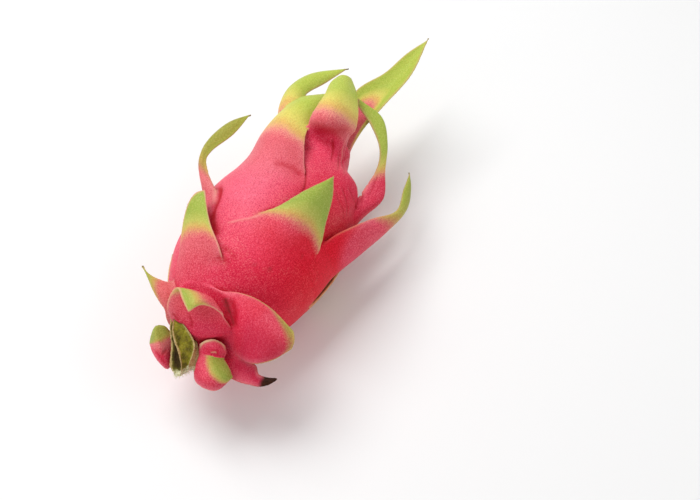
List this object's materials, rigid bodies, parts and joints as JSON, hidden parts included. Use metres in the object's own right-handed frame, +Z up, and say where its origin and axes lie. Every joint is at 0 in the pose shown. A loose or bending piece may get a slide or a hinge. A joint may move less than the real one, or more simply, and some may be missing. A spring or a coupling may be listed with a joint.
{
  "type": "dragon fruit",
  "caption": "Whole red dragon fruit lying on its side, its swollen skin growing into long pointed bracts, with a short stem stub.",
  "frame": {"origin": "under the middle of the fruit's box, on the surface that it lies on", "axes": "+Z up; +X along the fruit from its stem to its crown; -Y is the side that the blunt stem-end flap reaches out on"},
  "size_m": [0.2516, 0.1042, 0.0828],
  "materials": {
    "skin": "waxy fruit rind, pink-red, turning salmon, yellow and green along the bracts",
    "stem": "matt green cactus stem with dried cream-brown ribs and a torn end"
  },
  "bodies": {
    "root": {"fruit": "skin", "stem_stub": "stem"}
  },
  "joints": []
}
